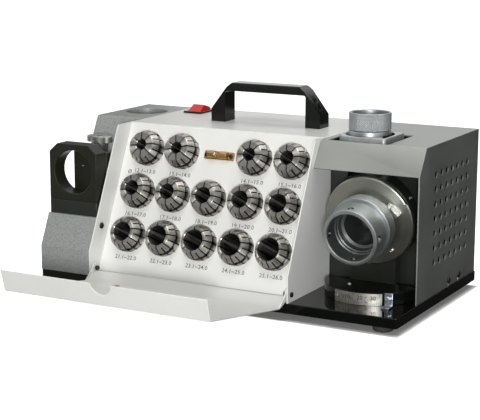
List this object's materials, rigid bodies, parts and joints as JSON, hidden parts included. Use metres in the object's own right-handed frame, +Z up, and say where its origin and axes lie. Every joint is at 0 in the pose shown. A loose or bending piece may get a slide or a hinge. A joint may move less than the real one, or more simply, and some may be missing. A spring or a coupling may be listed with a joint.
{
  "type": "drill bit grinder",
  "caption": "Bench drill bit grinder with a lidded collet rack, a swivelling front socket, a top thinning port and a setting gauge.",
  "frame": {"origin": "middle of the box round the whole machine, lid open, on the plane under the feet", "axes": "+Z up, -Y towards the operator, +X to the operator's right"},
  "size_m": [0.444, 0.4042, 0.231],
  "materials": {
    "abrasive": "abrasive coated",
    "black_gloss": "gloss black",
    "black_oxide": "black oxide",
    "black_plastic": "moulded",
    "black_satin": "satin black",
    "brass": "polished",
    "cast_alu": "as cast",
    "dark_steel": "blackened",
    "grey_coat": "grey powder coat",
    "ground_steel": "ground",
    "hammer_grey": "hammered grey paint",
    "red_plastic": "gloss",
    "rubber": "matte",
    "satin_alu": "satin",
    "scale_silver": "satin, marked",
    "turned_steel": "turned",
    "white_coat": "white powder coat",
    "zinc": "zinc plated"
  },
  "bodies": {
    "frame": {"back_panel": "grey_coat", "ball_catch": "brass", "base_plate": "black_gloss", "cable_gland": "black_plastic", "carry_handle": "black_plastic", "catch_balls": "ground_steel", "collet_13": "ground_steel", "collet_14": "ground_steel", "collet_15": "ground_steel", "collet_16": "ground_steel", "collet_17": "ground_steel", "collet_18": "ground_steel", "collet_19": "ground_steel", "collet_20": "ground_steel", "collet_21": "ground_steel", "collet_22": "ground_steel", "collet_23": "ground_steel", "collet_24": "ground_steel", "collet_25": "ground_steel", "collet_26": "ground_steel", "collet_panel": "white_coat", "cover_clip": "zinc", "cover_screws": "dark_steel", "foot_screws": "dark_steel", "gauge_base": "black_satin", "gauge_body": "black_oxide", "gauge_bracket": "black_oxide", "gauge_pin": "ground_steel", "handle_screws": "dark_steel", "index_tab": "zinc", "left_housing": "hammer_grey", "lid_pivots": "dark_steel", "motor_bearings": "ground_steel", "motor_body": "black_satin", "motor_cradle": "cast_alu", "port_boss": "cast_alu", "port_ring": "turned_steel", "rack_shell": "white_coat", "right_cover": "grey_coat", "rubber_feet": "rubber", "switch_bezel": "black_plastic", "swivel_pin": "ground_steel", "wheel_guard": "black_satin"},
    "lid": {"lid_panel": "white_coat", "lid_strike": "brass"},
    "rocker": {"switch_rocker": "red_plastic"},
    "spindle": {"motor_shaft": "ground_steel", "grinding_wheel": "abrasive", "wheel_nut": "dark_steel", "cooling_fan": "black_plastic"},
    "swivel": {"swivel_drum": "black_gloss", "angle_scale": "scale_silver", "swivel_head": "black_gloss", "cam_disc": "turned_steel", "cam_keys": "ground_steel", "chuck_socket": "turned_steel"},
    "collar": {"knurled_collar": "satin_alu"},
    "knob": {"gauge_knob": "cast_alu"}
  },
  "joints": [
    {"name": "lid_hinge", "type": "hinge", "parent": "frame", "child": "lid", "pos_m": [-0.02848, -0.02881, 0.0273], "axis": [-1, 0, 0], "range_deg": [0, 105.9]},
    {"name": "switch_rock", "type": "hinge", "parent": "frame", "child": "rocker", "pos_m": [-0.12796, 0.16859, 0.183], "axis": [-1, 0, 0], "range_deg": [0, 18]},
    {"name": "wheel_spin", "type": "hinge", "parent": "frame", "child": "spindle", "pos_m": [0.13799, 0.09009, 0.107], "axis": [0, 1, 0], "continuous": true},
    {"name": "point_angle", "type": "hinge", "parent": "frame", "child": "swivel", "pos_m": [0.16, 0.05009, 0.019], "axis": [0, 0, 1], "range_deg": [-12, 14]},
    {"name": "collar_turn", "type": "hinge", "parent": "frame", "child": "collar", "pos_m": [0.14049, 0.07509, 0.194], "axis": [0, 0, 1], "continuous": true},
    {"name": "knob_turn", "type": "hinge", "parent": "frame", "child": "knob", "pos_m": [-0.18898, 0.04009, 0.144], "axis": [0, 0, 1], "continuous": true}
  ]
}
